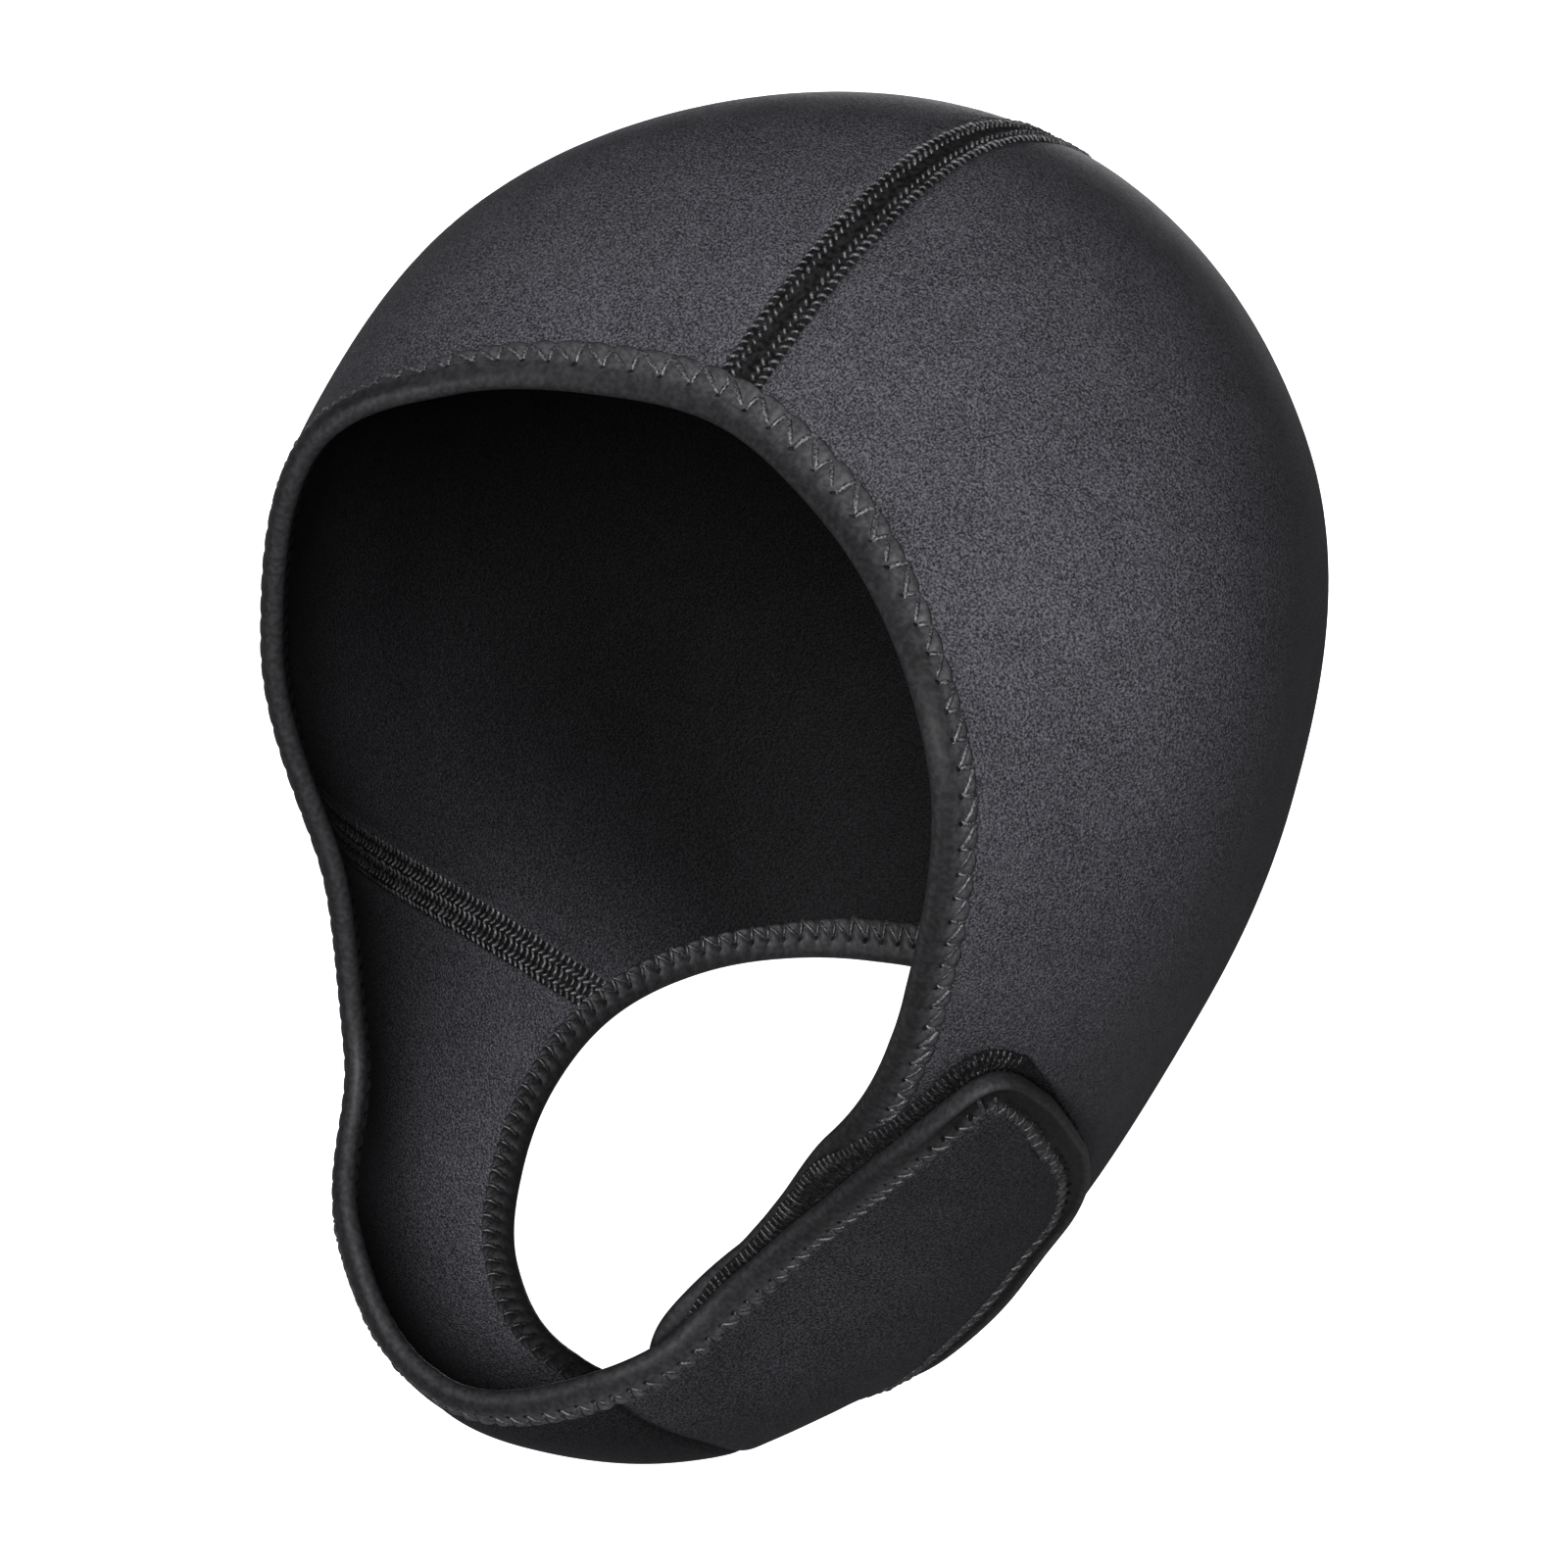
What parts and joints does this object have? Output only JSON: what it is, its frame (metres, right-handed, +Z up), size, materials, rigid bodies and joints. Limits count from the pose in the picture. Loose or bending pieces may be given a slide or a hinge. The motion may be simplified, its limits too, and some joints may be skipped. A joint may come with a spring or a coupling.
{
  "type": "neoprene diving cap",
  "caption": "Close-fitting black neoprene diving cap with a crown seam, taped face and neck openings and a chin strap closed on the left cheek",
  "frame": {"origin": "where the top of the wearer's head touches the inside of the crown", "axes": "+Z up along the worn head, the face opening towards -Y, the wearer's left cheek at +X"},
  "size_m": [0.164, 0.1704, 0.2256],
  "materials": {
    "neoprene": "jersey-faced foam, soft sheen",
    "seam": "dense flatlock thread",
    "tape": "smooth rolled knit tape",
    "fleece": "napped hook and loop"
  },
  "bodies": {
    "root": {"left_panel": "neoprene", "right_panel": "neoprene", "chin_strap": "neoprene", "crown_seam": "seam", "cheek_seam": "seam", "face_binding": "tape", "neck_binding": "tape", "loop_patch": "fleece", "hook_patch": "fleece"}
  },
  "joints": []
}
